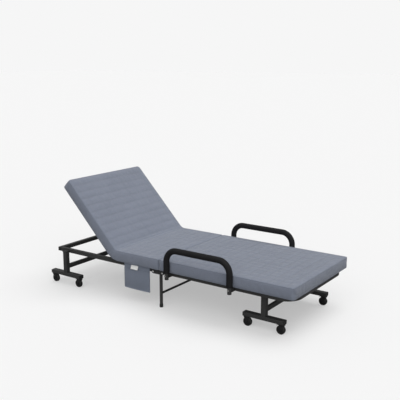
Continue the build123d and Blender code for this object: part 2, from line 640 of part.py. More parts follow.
def recliner_arm(sign):
    span = ys(sign, BACK_FRAME_OUTER, BACK_FRAME_OUTER + RECLINER_ARM_THICKNESS)
    arm = slot_plate(RECLINE_X, RECLINE_X - RECLINER_ARM_LENGTH, RECLINE_Z, BACK_TUBE / 2, span)
    arm += rod_y(RECLINE_X, RECLINE_Z, RECLINER_RADIUS - 1, span)
    return arm - rod_y(RECLINE_X, RECLINE_Z, RECLINER_PIN_RADIUS + RUNNING_CLEARANCE, ys(sign, *BORE_SPAN))


def backrest():
    frame = u_frame(BACK_FRAME_START, BACK_FRAME_END, BACK_FRAME_OUTER, BACK_FRAME_CORNER, BACK_TUBE,
                    BACK_FRAME_TOP, TUBE_WALL)
    save(raised(frame), "backrest_frame")
    save(raised(on_both_sides(recliner_arm)), "recliner_arms")
    half = BACK_FRAME_OUTER - 4
    sling = block((BACK_FRAME_END + 20, BACK_FRAME_START - 4), (-half, half), (SLING_BOTTOM, SLING_TOP))
    save(raised(sling), "backrest_sling")
    pad = mattress(HEAD_END, RECLINE_X + 5, "low") - notch_cut(-1, NOTCH_SETBACK)
    save(raised(pad), "backrest_mattress")


def main():
    os.makedirs("parts", exist_ok=True)
    leg_set("foot", FOOT_POST_X, FOOT_BAR_Y, FOOT_POST_SPAN, FOOT_CROSSBAR_Z, 1, False)
    leg_set("head", HEAD_POST_X, HEAD_BAR_Y, HEAD_POST_SPAN, HEAD_CROSSBAR_Z, -1, True)
    casters()
    save(on_both_sides(foot_link), "foot_swing_links")
    save(on_both_sides(head_link), "head_swing_links")
    foot_half()
    centre_section()
    head_half()
    backrest()


main()
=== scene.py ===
import json
import math

import bpy
import numpy as np
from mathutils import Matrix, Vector


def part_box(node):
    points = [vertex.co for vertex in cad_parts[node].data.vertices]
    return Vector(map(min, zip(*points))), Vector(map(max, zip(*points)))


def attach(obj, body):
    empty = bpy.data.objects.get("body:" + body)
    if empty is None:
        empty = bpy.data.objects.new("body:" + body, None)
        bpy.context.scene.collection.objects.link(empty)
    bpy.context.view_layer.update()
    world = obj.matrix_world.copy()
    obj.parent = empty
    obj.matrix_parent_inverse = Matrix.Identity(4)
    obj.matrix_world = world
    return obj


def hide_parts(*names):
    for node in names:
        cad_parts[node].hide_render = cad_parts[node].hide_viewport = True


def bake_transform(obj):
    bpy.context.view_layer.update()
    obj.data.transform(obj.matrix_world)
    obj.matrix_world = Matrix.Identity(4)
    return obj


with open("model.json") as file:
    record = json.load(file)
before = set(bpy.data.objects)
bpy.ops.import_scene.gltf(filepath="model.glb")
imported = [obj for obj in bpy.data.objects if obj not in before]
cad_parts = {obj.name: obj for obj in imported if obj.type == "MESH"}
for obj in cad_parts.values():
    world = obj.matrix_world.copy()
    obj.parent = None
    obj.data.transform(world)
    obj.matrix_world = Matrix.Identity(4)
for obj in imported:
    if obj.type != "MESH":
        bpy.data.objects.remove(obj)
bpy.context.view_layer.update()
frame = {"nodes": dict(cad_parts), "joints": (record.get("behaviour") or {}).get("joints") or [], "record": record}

scene = bpy.context.scene
nodes = frame["nodes"]
bodies = frame["record"]["behaviour"]["bodies"]
joints = {joint["name"]: joint for joint in frame["joints"]}
rng = np.random.RandomState(7)

# Mattress construction, in metres
CHANNEL_PITCH = 0.0535      # between the quilting seams, along the cot
STEPS_PER_CHANNEL = 6
WIDTH_STEP = 0.013
SIDE_STEPS = 6
EDGE_RADIUS = 0.007
SPLIT_EDGE = 0.003          # edge radius at the two ends that meet in the middle
SPLIT_CORNER = 0.006        # corner radii in plan
FOOT_CORNER = 0.012
HEAD_CORNER = 0.018
CHANNEL_DEPTH = 0.0008
PUFF_POWER = 0.7            # under 1, a channel is full between its seams
CROWN = 0.004
SWELL = 0.0028              # most that the stuffed cover stands out past its seams
ROUND_OFF = 0.0022          # what smoothing takes off each outer face
BEND_RADIUS = 0.120         # of the mattress underside, where the backrest is raised
PIPING_RADIUS = 0.0021
SEAM_FADE = 0.03            # from the edge, over which the channels and the crown come in
QUILTED_INSET = 0.012       # from the edge, where the stitching starts

# Sewing, in metres
STITCH_LINE = 0.0006        # half width of the thread that shows on a seam
STITCH_PITCH = 0.0045
STITCH_SHARE = 0.7          # of each pitch that shows thread
STITCH_VALLEY = 0.0035      # half width of the sewn valley
STITCH_DEPTH = 0.0007
GATHER_HEIGHT = 0.00022
GATHER_REACH = 0.011        # either side of a seam
GATHER_LENGTHS = (0.019, 0.027, 0.041, 0.013, 0.063, 0.034)
SEAM_SHADE = 0.11           # painted shade: darkening of the cloth in a seam's valley
SEAM_SHADE_REACH = 0.004

# Stuffing simulation
FRAMES = 20
PRESSURE = 4.0


# Shading

def material(name, colour, roughness, build=None, metallic=0.0, sheen=0.0, specular=0.5):
    """A Principled material; build(nodes, links, shader) adds its detail."""
    made = bpy.data.materials.new(name)
    made.use_nodes = True
    tree = made.node_tree
    shader = tree.nodes["Principled BSDF"]
    shader.inputs["Base Color"].default_value = (*colour, 1)
    shader.inputs["Roughness"].default_value = roughness
    shader.inputs["Metallic"].default_value = metallic
    shader.inputs["Sheen Weight"].default_value = sheen
    shader.inputs["Specular IOR Level"].default_value = specular
    if build:
        build(tree.nodes, tree.links, shader)
    return made


def node(tree_nodes, kind, **values):
    made = tree_nodes.new(kind)
    for name, value in values.items():
        setattr(made, name, value)
    return made


def noise(tree_nodes, links, coords, scale, detail=2.0, roughness=0.5):
    made = node(tree_nodes, "ShaderNodeTexNoise")
    made.inputs["Scale"].default_value = scale
    made.inputs["Detail"].default_value = detail
    made.inputs["Roughness"].default_value = roughness
    links.new(coords, made.inputs["Vector"])
    return made.outputs["Fac"]


def maths(tree_nodes, links, operation, *values):
    made = node(tree_nodes, "ShaderNodeMath", operation=operation)
    for i, value in enumerate(values):
        if isinstance(value, (int, float)):
            made.inputs[i].default_value = value
        else:
            links.new(value, made.inputs[i])
    return made.outputs[0]


def ramp(tree_nodes, links, value, low, high):
    """value moved from 0..1 to low..high."""
    made = node(tree_nodes, "ShaderNodeMapRange")
    made.inputs["To Min"].default_value = low
    made.inputs["To Max"].default_value = high
    links.new(value, made.inputs["Value"])
    return made.outputs["Result"]


def tint(tree_nodes, links, shader, colour, factor):
    """Base colour times a factor that varies over the surface."""
    mix = node(tree_nodes, "ShaderNodeVectorMath", operation="SCALE")
    mix.inputs[0].default_value = colour
    links.new(factor, mix.inputs["Scale"])
    links.new(mix.outputs[0], shader.inputs["Base Color"])


def bump(tree_nodes, links, shader, height, distance, strength=1.0):
    made = node(tree_nodes, "ShaderNodeBump")
    made.inputs["Distance"].default_value = distance
    made.inputs["Strength"].default_value = strength
    links.new(height, made.inputs["Height"])
    links.new(made.outputs["Normal"], shader.inputs["Normal"])


def object_coords(tree_nodes):
    return node(tree_nodes, "ShaderNodeTexCoord").outputs["Object"]


def weave_height(tree_nodes, links, coords, pitch):
    """Plain weave on every face of a pad: crossed ribs along its three directions."""
    def calc(operation, *values):
        return maths(tree_nodes, links, operation, *values)

    split = node(tree_nodes, "ShaderNodeSeparateXYZ")
    links.new(coords, split.inputs[0])
    waves = [calc("SINE", calc("MULTIPLY", split.outputs[i], 2 * math.pi / pitch)) for i in range(3)]
    first = calc("MULTIPLY", waves[0], waves[1])
    second = calc("MULTIPLY", calc("ADD", waves[0], waves[1]), waves[2])
    return calc("ADD", first, second)


YARN_SCALE = 900.0          # noise scales, per metre
CLOUD_SCALE = 9.0
FABRIC_RELIEF = 0.00025
THREAD_LIGHT = 0.12         # added to the colour factor on the thread
THREAD_RELIEF = 2.0         # thread height, against the weave's


def fabric(name, colour, pitch, quilted=False, flecks=0.16):
    """Woven cloth. Its pattern follows the flat cloth, so it doesn't slide when a piece bends."""
    def build(tree_nodes, links, shader):
        def calc(operation, *values):
            return maths(tree_nodes, links, operation, *values)

        coords = node(tree_nodes, "ShaderNodeAttribute", attribute_name="flat_co").outputs["Vector"]
        weave = weave_height(tree_nodes, links, coords, pitch)
        yarn = noise(tree_nodes, links, coords, YARN_SCALE, 3.0, 0.7)
        cloud = noise(tree_nodes, links, coords, CLOUD_SCALE, 3.0)
        factor = calc("MULTIPLY", ramp(tree_nodes, links, yarn, 1 - flecks, 1 + flecks),
                      ramp(tree_nodes, links, cloud, 0.93, 1.07))
        # Painted shade: the colour is up to 3% darker where the weave is low, between its ribs.
        factor = calc("MULTIPLY", factor, ramp(tree_nodes, links, weave, 0.97, 1.0))
        height = calc("ADD", calc("MULTIPLY", weave, 0.5), yarn)
        if quilted:
            quilt = node(tree_nodes, "ShaderNodeAttribute", attribute_name="quilt").outputs["Vector"]
            split = node(tree_nodes, "ShaderNodeSeparateXYZ")
            links.new(quilt, split.inputs[0])
            offset, along, top = split.outputs
            near = calc("LESS_THAN", offset, STITCH_LINE)
            dash = calc("LESS_THAN", calc("FRACT", calc("DIVIDE", along, STITCH_PITCH)), STITCH_SHARE)
            thread = calc("MULTIPLY", calc("MULTIPLY", near, dash), top)
            # Painted shade: the cloth colour is darkened towards each quilting seam, where its valley lies.
            valley = calc("EXPONENT", calc("DIVIDE", offset, -SEAM_SHADE_REACH))
            shade = calc("MULTIPLY", calc("MULTIPLY", valley, top), SEAM_SHADE)
            factor = calc("MULTIPLY", factor, calc("SUBTRACT", 1.0, shade))
            factor = calc("ADD", factor, calc("MULTIPLY", thread, THREAD_LIGHT))
            height = calc("ADD", height, calc("MULTIPLY", thread, THREAD_RELIEF))
        tint(tree_nodes, links, shader, colour, factor)
        links.new(ramp(tree_nodes, links, yarn, 0.82, 0.98), shader.inputs["Roughness"])
        bump(tree_nodes, links, shader, height, FABRIC_RELIEF, 0.8)
    return material(name, colour, 0.9, build, sheen=0.25, specular=0.2)


def coated(name, colour, roughness, grain_scale, grain_depth, wear=0.12, metallic=0.0, specular=0.5):
    """Powder coat, moulded plastic or rubber: fine grain and a little unevenness."""
    def build(tree_nodes, links, shader):
        coords = object_coords(tree_nodes)
        grain = noise(tree_nodes, links, coords, grain_scale, 3.0, 0.6)
        broad = noise(tree_nodes, links, coords, 14.0, 4.0)
        factor = maths(tree_nodes, links, "MULTIPLY", ramp(tree_nodes, links, broad, 1 - wear, 1 + wear),
                       ramp(tree_nodes, links, grain, 0.9, 1.1))
        tint(tree_nodes, links, shader, colour, factor)
        uneven = ramp(tree_nodes, links, broad, roughness - 0.06, roughness + 0.08)
        links.new(uneven, shader.inputs["Roughness"])
        bump(tree_nodes, links, shader, grain, grain_depth, 0.7)
    return material(name, colour, roughness, build, metallic=metallic, specular=specular)


FOAM_COLOUR = (0.011, 0.011, 0.012)
FOAM_CELLS = 700.0          # a metre


def foam_material():
    """Closed-cell foam grip: small cells with a dull skin."""
    def build(tree_nodes, links, shader):
        coords = object_coords(tree_nodes)
        cells = node(tree_nodes, "ShaderNodeTexVoronoi")
        cells.inputs["Scale"].default_value = FOAM_CELLS
        links.new(coords, cells.inputs["Vector"])
        broad = noise(tree_nodes, links, coords, 20.0, 3.0)
        tint(tree_nodes, links, shader, FOAM_COLOUR, ramp(tree_nodes, links, broad, 0.85, 1.15))
        bump(tree_nodes, links, shader, cells.outputs["Distance"], 0.0004, 0.6)
    return material("foam", FOAM_COLOUR, 0.78, build, specular=0.22)


# coated takes a name, colour, roughness, grain scale and grain depth in metres.
# fabric takes a name, colour and weave pitch in metres.
LOOKS = {
    "black_frame": coated("black_frame", (0.036, 0.036, 0.036), 0.46, 1600.0, 0.00008),
    "black_hardware": coated("black_hardware", (0.032, 0.032, 0.033), 0.42, 1300.0, 0.00008),
    "bolt_steel": coated("bolt_steel", (0.62, 0.62, 0.61), 0.28, 900.0, 0.00003, 0.05, metallic=1.0),
    "cap_plastic": coated("cap_plastic", (0.015, 0.015, 0.016), 0.5, 2200.0, 0.0001),
    "caster_plastic": coated("caster_plastic", (0.012, 0.012, 0.013), 0.42, 2000.0, 0.0001),
    "wheel_rubber": coated("wheel_rubber", (0.013, 0.013, 0.013), 0.66, 1400.0, 0.00014),
    "foot_rubber": coated("foot_rubber", (0.02, 0.02, 0.02), 0.72, 1200.0, 0.00016),
    "grip_foam": foam_material(),
    "mattress_fabric": fabric("mattress_fabric", (0.214, 0.238, 0.298), 0.0016, quilted=True),
    "pocket_fabric": fabric("pocket_fabric", (0.200, 0.228, 0.290), 0.0014),
    "sling_fabric": fabric("sling_fabric", (0.045, 0.044, 0.046), 0.0026),
}
PIPING = fabric("piping_fabric", (0.190, 0.214, 0.268), 0.0014)
LABEL = fabric("label_fabric", (0.93, 0.93, 0.92), 0.0009, flecks=0.02)

for part in frame["record"]["subparts"]:
    cad_node = nodes[part["node"]]
    cad_node.data.materials.clear()
    cad_node.data.materials.append(LOOKS[part["material_slot"]])


# Mesh helpers

def set_vectors(mesh, name, values):
    attribute = mesh.attributes.get(name) or mesh.attributes.new(name, "FLOAT_VECTOR", "POINT")
    attribute.data.foreach_set("vector", np.asarray(values, np.float32).ravel())


def get_vectors(mesh, name):
    values = np.zeros(len(mesh.vertices) * 3, np.float32)
    mesh.attributes[name].data.foreach_get("vector", values)
    return values.reshape(-1, 3).astype(float)


def get_points(mesh):
    values = np.zeros(len(mesh.vertices) * 3, np.float32)
    mesh.vertices.foreach_get("co", values)
    return values.reshape(-1, 3).astype(float)


def set_points(mesh, points):
    mesh.vertices.foreach_set("co", np.asarray(points, np.float32).ravel())
    mesh.update()


def piece(name, points, faces, look, flat=None):
    """A new smooth object. flat is each point's place on the flat cloth, where that isn't its own."""
    mesh = bpy.data.meshes.new(name)
    mesh.from_pydata([tuple(p) for p in points], [], faces)
    mesh.polygons.foreach_set("use_smooth", [True] * len(mesh.polygons))
    mesh.materials.append(look)
    set_vectors(mesh, "flat_co", points if flat is None else flat)
    made = bpy.data.objects.new(name, mesh)
    scene.collection.objects.link(made)
    return made


def applied(obj):
    """Replaces an object's mesh by its mesh with the modifiers applied."""
    graph = bpy.context.evaluated_depsgraph_get()
    mesh = bpy.data.meshes.new_from_object(obj.evaluated_get(graph), depsgraph=graph)
    obj.modifiers.clear()
    obj.data = mesh
    return obj


def subdivided(obj):
    modifier = obj.modifiers.new("subdivision", "SUBSURF")
    modifier.levels = modifier.render_levels = 1
    return applied(obj)


def thickened(obj, thickness):
    """Gives a sheet its thickness, half to each side."""
    modifier = obj.modifiers.new("thickness", "SOLIDIFY")
    modifier.thickness = thickness
    modifier.offset = 0.0
    return applied(obj)


def tube(points, radius, sides=10, closed=True):
    """Vertices and faces of a round tube along a line of points."""
    points = np.asarray(points, float)
    count = len(points)
    if closed:
        along = np.roll(points, -1, 0) - np.roll(points, 1, 0)
    else:
        along = np.gradient(points, axis=0)
    along /= np.linalg.norm(along, axis=1)[:, None]
    up = np.where(np.abs(along[:, 2:3]) > 0.9, np.array([[1.0, 0, 0]]), np.array([[0, 0, 1.0]]))
    side = np.cross(along, up)
    side /= np.linalg.norm(side, axis=1)[:, None]
    up = np.cross(side, along)
    turns = np.linspace(0, 2 * math.pi, sides, endpoint=False)
    rings = points[:, None] + radius * (np.cos(turns)[None, :, None] * side[:, None]
                                        + np.sin(turns)[None, :, None] * up[:, None])
    faces = []
    for i in range(count if closed else count - 1):
        j = (i + 1) % count
        faces += [(i * sides + k, i * sides + (k + 1) % sides, j * sides + (k + 1) % sides, j * sides + k)
                  for k in range(sides)]
    if not closed:
        faces += [tuple(range(sides)), tuple((count - 1) * sides + k for k in range(sides))[::-1]]
    return rings.reshape(-1, 3), faces


def lathe(profile, centre, axis_sign, steps=28):
    """Turned piece about a line along Y: profile is (radius, outward distance) pairs from the middle out."""
    points, faces = [], []
    for radius, out in profile:
        for k in range(steps):
            turn = 2 * math.pi * k / steps
            points.append((centre[0] + radius * math.cos(turn), centre[1] + axis_sign * out,
                           centre[2] + radius * math.sin(turn)))
    for i in range(len(profile) - 1):
        for k in range(steps):
            a, b = i * steps + k, i * steps + (k + 1) % steps
            faces.append((a, b, b + steps, a + steps))
    faces += [tuple(range(steps)), tuple((len(profile) - 1) * steps + k for k in range(steps))[::-1]]
    return points, faces


def joined(parts):
    """Several (points, faces) pairs as one."""
    points, faces = [], []
    for part_points, part_faces in parts:
        start = len(points)
        points += [tuple(p) for p in part_points]
        faces += [tuple(start + i for i in face) for face in part_faces]
    return points, faces


# Mattresses. A mattress is made flat, as (along, across, above its underside), and then put in place.

def round_plan(points, low, high, half_width, radii):
    """Rounds the two pairs of corners in plan. radii are for the low and the high end."""
    made = points.copy()
    for end, radius in zip((low, high), radii):
        toward = 1 if end == high else -1
        du = np.maximum(0, toward * (points[:, 0] - (end - toward * radius)))
        dv = np.maximum(0, np.abs(points[:, 1]) - (half_width - radius))
        length = np.hypot(du, dv)
        scale = np.where(length > 1e-9, np.maximum(du, dv) / np.maximum(length, 1e-9), 1.0)
        both = (du > 0) & (dv > 0)
        made[both, 0] += (toward * du * (scale - 1))[both]
        made[both, 1] += (np.sign(points[:, 1]) * dv * (scale - 1))[both]
    return made


def pad(low, high, half_width, thickness, radii, end_edges):
    """Closed grid of a quilted mattress, with its channels, crown and soft edges.

    radii are the corners in plan, and end_edges the edge radii, at the low and the high end. It gives the
    points, the faces, each point's flat place, its quilt values (distance to a seam, place along the seam,
    whether it is quilted), the points that the stuffing doesn't move, and the lines round the top and bottom.
    """
    channels = max(1, round((high - low) / CHANNEL_PITCH))
    pitch = (high - low) / channels
    counts = (channels * STEPS_PER_CHANNEL, round(2 * half_width / WIDTH_STEP), SIDE_STEPS)
    lines = [np.linspace(a, b, n + 1) for (a, b), n in
             zip(((low, high), (-half_width, half_width), (0, thickness)), counts)]
    index, corners = {}, []

    def vertex(key):
        if key not in index:
            index[key] = len(corners)
            corners.append([lines[axis][key[axis]] for axis in range(3)])
        return index[key]

    faces = []
    for axis in range(3):
        u, v = (axis + 1) % 3, (axis + 2) % 3
        for level in (0, counts[axis]):
            for i in range(counts[u]):
                for j in range(counts[v]):
                    keys = []
                    for a, b in ((0, 0), (1, 0), (1, 1), (0, 1)):
                        key = [0, 0, 0]
                        key[axis], key[u], key[v] = level, i + a, j + b
                        keys.append(tuple(key))
                    face = [vertex(key) for key in keys]
                    faces.append(face if level else face[::-1])
    keys = np.array(sorted(index, key=index.get))
    flat = np.array(corners)
    edge_low = np.array([end_edges[0], EDGE_RADIUS, EDGE_RADIUS])
    edge_high = np.array([end_edges[1], EDGE_RADIUS, EDGE_RADIUS])
    middle = np.array([(low + high) / 2, 0, thickness / 2])
    edges = np.where(flat < middle, edge_low, edge_high)
    inner = np.clip(flat, np.array([low, -half_width, 0]) + edge_low,
                    np.array([high, half_width, thickness]) - edge_high)
    out = flat - inner
    points = inner + out / np.maximum(np.linalg.norm(out / edges, axis=1)[:, None], 1e-9)
    points = round_plan(points, low, high, half_width, radii)
    on_top = keys[:, 2] == counts[2]
    ring = (keys[:, 0] == 0) | (keys[:, 0] == counts[0]) | (keys[:, 1] == 0) | (keys[:, 1] == counts[1])
    inset = np.minimum(np.minimum(flat[:, 0] - low, high - flat[:, 0]), half_width - np.abs(flat[:, 1]))
    fade = np.clip(inset / SEAM_FADE, 0, 1)
    fade = fade * fade * (3 - 2 * fade)
    to_seam = np.abs((((flat[:, 0] - low) / pitch + 0.5) % 1) - 0.5) * pitch
    puff = np.abs(np.cos(np.pi * (0.5 - to_seam / pitch))) ** PUFF_POWER
    across = 1 - (flat[:, 1] / half_width) ** 4
    points[:, 2] += np.where(on_top, fade * (CHANNEL_DEPTH * (puff - 1) + CROWN * across), 0)
    seam = on_top & ~ring & (keys[:, 0] % STEPS_PER_CHANNEL == 0)
    bottom = keys[:, 2] == 0
    pinned = seam | bottom | (on_top & ring)
    quilt = np.stack([to_seam, flat[:, 1], (on_top & (inset > QUILTED_INSET)).astype(float)], 1)
    ring_top = ring_line(keys, points, counts, counts[2])
    ring_bottom = ring_line(keys, points, counts, 0)
    return points, faces, flat, quilt, pinned, (ring_top, ring_bottom)


def ring_line(keys, points, counts, level):
    """The edge of the top or the underside as one closed line of points."""
    place = {tuple(key): points[i] for i, key in enumerate(keys)}
    path = [(i, 0) for i in range(counts[0])] + [(counts[0], j) for j in range(counts[1])]
    path += [(i, counts[1]) for i in range(counts[0], 0, -1)] + [(0, j) for j in range(counts[1], 0, -1)]
    return np.array([place[(i, j, level)] for i, j in path])


def inflate(obj, pinned):
    """Swells the cover between its seams with a short cloth simulation, and keeps the result."""
    before = get_points(obj.data)
    group = obj.vertex_groups.new(name="pin")
    group.add([int(i) for i in np.nonzero(pinned)[0]], 1.0, "REPLACE")
    modifier = obj.modifiers.new("cloth", "CLOTH")
    settings = modifier.settings
    settings.quality = 5
    settings.mass = 0.25
    settings.tension_stiffness = settings.compression_stiffness = 12
    settings.shear_stiffness = 6
    settings.bending_stiffness = 0.6
    settings.use_pressure = True
    settings.uniform_pressure_force = PRESSURE
    settings.shrink_min = -0.02
    settings.vertex_group_mass = "pin"
    settings.effector_weights.gravity = 0
    modifier.collision_settings.use_collision = False
    modifier.point_cache.frame_start = 1
    modifier.point_cache.frame_end = FRAMES
    for number in range(1, FRAMES + 1):
        scene.frame_set(number)
    graph = bpy.context.evaluated_depsgraph_get()
    moved = get_points(obj.evaluated_get(graph).data)
    step = moved - before
    length = np.linalg.norm(step, axis=1)
    step *= SWELL / max(np.percentile(length, 99), 1e-9)
    step *= np.minimum(1, SWELL / np.maximum(np.linalg.norm(step, axis=1), 1e-9))[:, None]
    obj.modifiers.clear()
    obj.vertex_groups.clear()
    scene.frame_set(1)
    set_points(obj.data, before + step)


def pucker(obj):
    """Small gathers across each quilting seam, and a narrow sewn valley in it."""
    points = get_points(obj.data)
    quilt = get_vectors(obj.data, "quilt")
    seam, across, top = quilt.T
    phases = rng.uniform(0, 2 * math.pi, len(GATHER_LENGTHS))
    waves = sum(np.sin(2 * math.pi * across / length + phase + points[:, 0] * 31)
                for length, phase in zip(GATHER_LENGTHS, phases)) / 3
    points[:, 2] += top * GATHER_HEIGHT * waves * np.exp(-seam / GATHER_REACH)
    points[:, 2] -= top * STITCH_DEPTH * np.exp(-(seam / STITCH_VALLEY) ** 2)
    set_points(obj.data, points)


def place_straight(origin_x, bottom):
    return lambda points: np.stack([points[:, 0] + origin_x, points[:, 1], points[:, 2] + bottom], 1)


def place_bent(corner_x, bottom, angle):
    """Flat mattress laid on the seat and up the raised backrest, round an arc. Along is 0 at the crease."""
    reach = BEND_RADIUS * math.tan(angle / 2)

    def place(points):
        along, across, above = points.T
        turn = angle * np.clip((reach - along) / (2 * reach), 0, 1)
        centre = np.array([corner_x + reach, bottom + BEND_RADIUS])
        x = centre[0] - np.sin(turn) * (BEND_RADIUS - above)
        z = centre[1] - np.cos(turn) * (BEND_RADIUS - above)
        over = np.maximum(0, along - reach)
        back = np.maximum(0, -reach - along)
        return np.stack([x + over - back * math.cos(angle), across, z + back * math.sin(angle)], 1)
    return place


def on_surface(ring, surface):
    """The surface point nearest to each point of a ring."""
    return np.array([surface[np.argmin(((surface - point) ** 2).sum(1))] for point in ring])


def mattress(name, low, high, half_width, thickness, radii, end_edges, place):
    """The quilted pad and its piping, both in place."""
    points, faces, flat, quilt, pinned, rings = pad(low, high, half_width, thickness, radii, end_edges)
    made = piece(name, points, faces, LOOKS["mattress_fabric"], flat)
    set_vectors(made.data, "quilt", quilt)
    inflate(made, pinned)
    subdivided(made)
    pucker(made)
    surface = get_points(made.data)
    set_points(made.data, place(surface))
    cords = []
    for ring, where in zip(rings, ("top", "bottom")):
        ring_points, ring_faces = tube(on_surface(ring, surface), PIPING_RADIUS)
        cord = piece(name + "_piping_" + where, place(ring_points), ring_faces, PIPING, ring_points)
        cords.append(cord)
    return made, cords


foot_low, foot_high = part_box("foot_mattress")
thickness = foot_high.z - foot_low.z
half_width = foot_high.y + ROUND_OFF
foot_pad, foot_piping = mattress("mattress_foot", 0, foot_high.x - foot_low.x + ROUND_OFF, half_width,
                                 thickness, (SPLIT_CORNER, FOOT_CORNER), (SPLIT_EDGE, EDGE_RADIUS),
                                 place_straight(foot_low.x, foot_low.z))
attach(foot_pad, "foot_half")
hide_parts("foot_mattress")
for cord in foot_piping:
    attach(cord, "foot_half")

angle = math.radians(joints["recline"]["range_deg"][1])
pivot_x, _, pivot_z = joints["recline"]["pos_m"]
seat_low, seat_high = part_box("seat_mattress")
back_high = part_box("backrest_mattress")[1]
lift = seat_low.z - pivot_z
corner_x = pivot_x + lift * math.tan(angle / 2)
back_length = (back_high.z - pivot_z - (lift + thickness) * math.cos(angle)) / math.sin(angle)
back_length -= lift * math.tan(angle / 2)
head_pad, head_piping = mattress("mattress_head", -back_length - ROUND_OFF, seat_high.x - corner_x,
                                 half_width, thickness, (HEAD_CORNER, SPLIT_CORNER),
                                 (EDGE_RADIUS, SPLIT_EDGE), place_bent(corner_x, seat_low.z, angle))
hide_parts("seat_mattress", "backrest_mattress")
for soft in [head_pad, *head_piping]:
    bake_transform(soft)


# Slings under the mattresses

SLING_STEPS = (60, 48)      # along and across
SLING_CLOTH = 0.0012
SLING_CORNER = 0.075
HEM_WIDTH = 0.026
HEM_EDGE = 0.003            # over which the hem's doubled cloth thins to the single one
HEM_CLOTH = 0.0005
RIPPLE = 0.0002


def sling(name, low, high, half_width, top, place, body, replaced, corner=0.0):
    """Woven sheet with a doubled, stitched hem, held between the frame tubes."""
    count_x, count_y = SLING_STEPS
    xs = np.linspace(low, high, count_x + 1)
    ys = np.linspace(-half_width, half_width, count_y + 1)
    grid = np.array([(x, y) for x in xs for y in ys])
    flat = np.column_stack([grid, np.zeros(len(grid))])
    if corner:
        flat = round_plan(flat, low, high, half_width, (0.001, corner))
    inset = np.minimum(np.minimum(grid[:, 0] - low, high - grid[:, 0]), half_width - np.abs(grid[:, 1]))
    hem = np.clip((HEM_WIDTH - inset) / HEM_EDGE, 0, 1) * HEM_CLOTH
    ripple = RIPPLE * np.sin(grid[:, 1] * 140) * np.sin(grid[:, 0] * 90)
    upper = flat + np.column_stack([np.zeros((len(grid), 2)), top + ripple])
    lower = upper - np.column_stack([np.zeros((len(grid), 2)), SLING_CLOTH + hem])
    wide = count_y + 1
    total = len(grid)
    faces = []
    for i in range(count_x):
        for j in range(count_y):
            a, b = i * wide + j, (i + 1) * wide + j
            faces.append((a, b, b + 1, a + 1))
            faces.append((total + a, total + a + 1, total + b + 1, total + b))
    border = [i * wide for i in range(count_x)] + [count_x * wide + j for j in range(count_y)]
    border += [i * wide + count_y for i in range(count_x, 0, -1)] + [j for j in range(count_y, 0, -1)]
    for a, b in zip(border, border[1:] + border[:1]):
        faces.append((a, total + a, total + b, b))
    both = np.vstack([upper, lower])
    made = piece(name, place(both), faces, LOOKS["sling_fabric"], both)
    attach(made, body)
    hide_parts(replaced)


low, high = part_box("foot_sling")
sling("sling_foot", low.x, high.x, high.y, high.z, lambda p: p, "foot_half", "foot_sling",
      SLING_CORNER)
low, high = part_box("seat_sling")
sling("sling_seat", low.x, high.x, high.y, high.z, lambda p: p, "head_half",
      "seat_sling")


def raise_back(points):
    """Flat backrest points, measured from the recline pivot, turned up to the modelled angle."""
    x, y, z = points.T
    return np.stack([pivot_x + x * math.cos(angle) + z * math.sin(angle), y,
                     pivot_z - x * math.sin(angle) + z * math.cos(angle)], 1)


def lower_back(point):
    """A point of the raised backrest, as (along, above) from the recline pivot with the backrest flat."""
    x, z = point[0] - pivot_x, point[2] - pivot_z
    return x * math.cos(angle) - z * math.sin(angle), x * math.sin(angle) + z * math.cos(angle)


flat_back = np.array([lower_back(v.co) for v in nodes["backrest_sling"].data.vertices])
back_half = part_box("backrest_sling")[1].y
sling("sling_back", flat_back[:, 0].min(), flat_back[:, 0].max(), back_half, flat_back[:, 1].max(),
      raise_back, "backrest", "backrest_sling")


# Side pocket

pocket_low, pocket_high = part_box("storage_pocket")
POCKET_MOUTH = 0.030        # front edge below the back edge
POCKET_CLOTH = 0.0011
POCKET_MARGIN = 0.001       # of the cloth's middle inside the pocket's box
POCKET_TURN = 0.004         # height of the turn at the bottom
POCKET_GAP = 0.0013         # between the two layers where they are sewn
BINDING_INSET = 0.0017      # of the side binding from the pocket's back face
BINDING_FOOT = 0.003        # of the side binding above the pocket's bottom
MOUTH_BINDING_RADIUS = 0.0011
SIDE_BINDING_RADIUS = 0.0016


def storage_pocket():
    """One strip of cloth, down the back, round the bottom and up the front, sewn at its sides."""
    count_x, count_back, count_turn, count_front = 44, 34, 8, 28
    back_y, front_y = pocket_high.y - POCKET_MARGIN, pocket_low.y + POCKET_MARGIN
    bottom, top = pocket_low.z + POCKET_MARGIN, pocket_high.z
    mouth = top - POCKET_MOUTH
    across = np.linspace(0, 1, count_x + 1)
    gap = np.sin(np.pi * across) ** 0.35
    rows = []
    for v in np.linspace(0, 1, count_back + 1):
        height = top + (bottom + POCKET_TURN - top) * v
        rows.append((np.full_like(across, back_y), np.full_like(across, height)))
    spread = abs(front_y - back_y)
    for v in np.linspace(0, 1, count_turn + 2)[1:-1]:
        turn = math.pi * v
        rows.append((back_y - gap * spread * (1 - math.cos(turn)) / 2 - 0.0012 * v,
                     bottom + POCKET_TURN - POCKET_TURN * math.sin(turn) * np.ones_like(across)))
    for v in np.linspace(0, 1, count_front + 1):
        belly = 0.5 + 0.5 * math.sin(math.pi * min(1.0, v * 1.15))
        droop = 0.0025 * np.sin(np.pi * across) * v ** 3
        rows.append((back_y - POCKET_GAP - gap * (spread - POCKET_GAP) * belly,
                     bottom + POCKET_TURN + (mouth - bottom - POCKET_TURN) * v - droop))
    xs = pocket_low.x + (pocket_high.x - pocket_low.x) * across
    points = np.array([(x, y, z) for row_y, row_z in rows for x, y, z in zip(xs, row_y, row_z)])
    wide = count_x + 1
    faces = [(i * wide + j, i * wide + j + 1, (i + 1) * wide + j + 1, (i + 1) * wide + j)
             for i in range(len(rows) - 1) for j in range(count_x)]
    made = piece("pocket_cloth", points, faces, LOOKS["pocket_fabric"])
    return thickened(made, POCKET_CLOTH), xs, rows


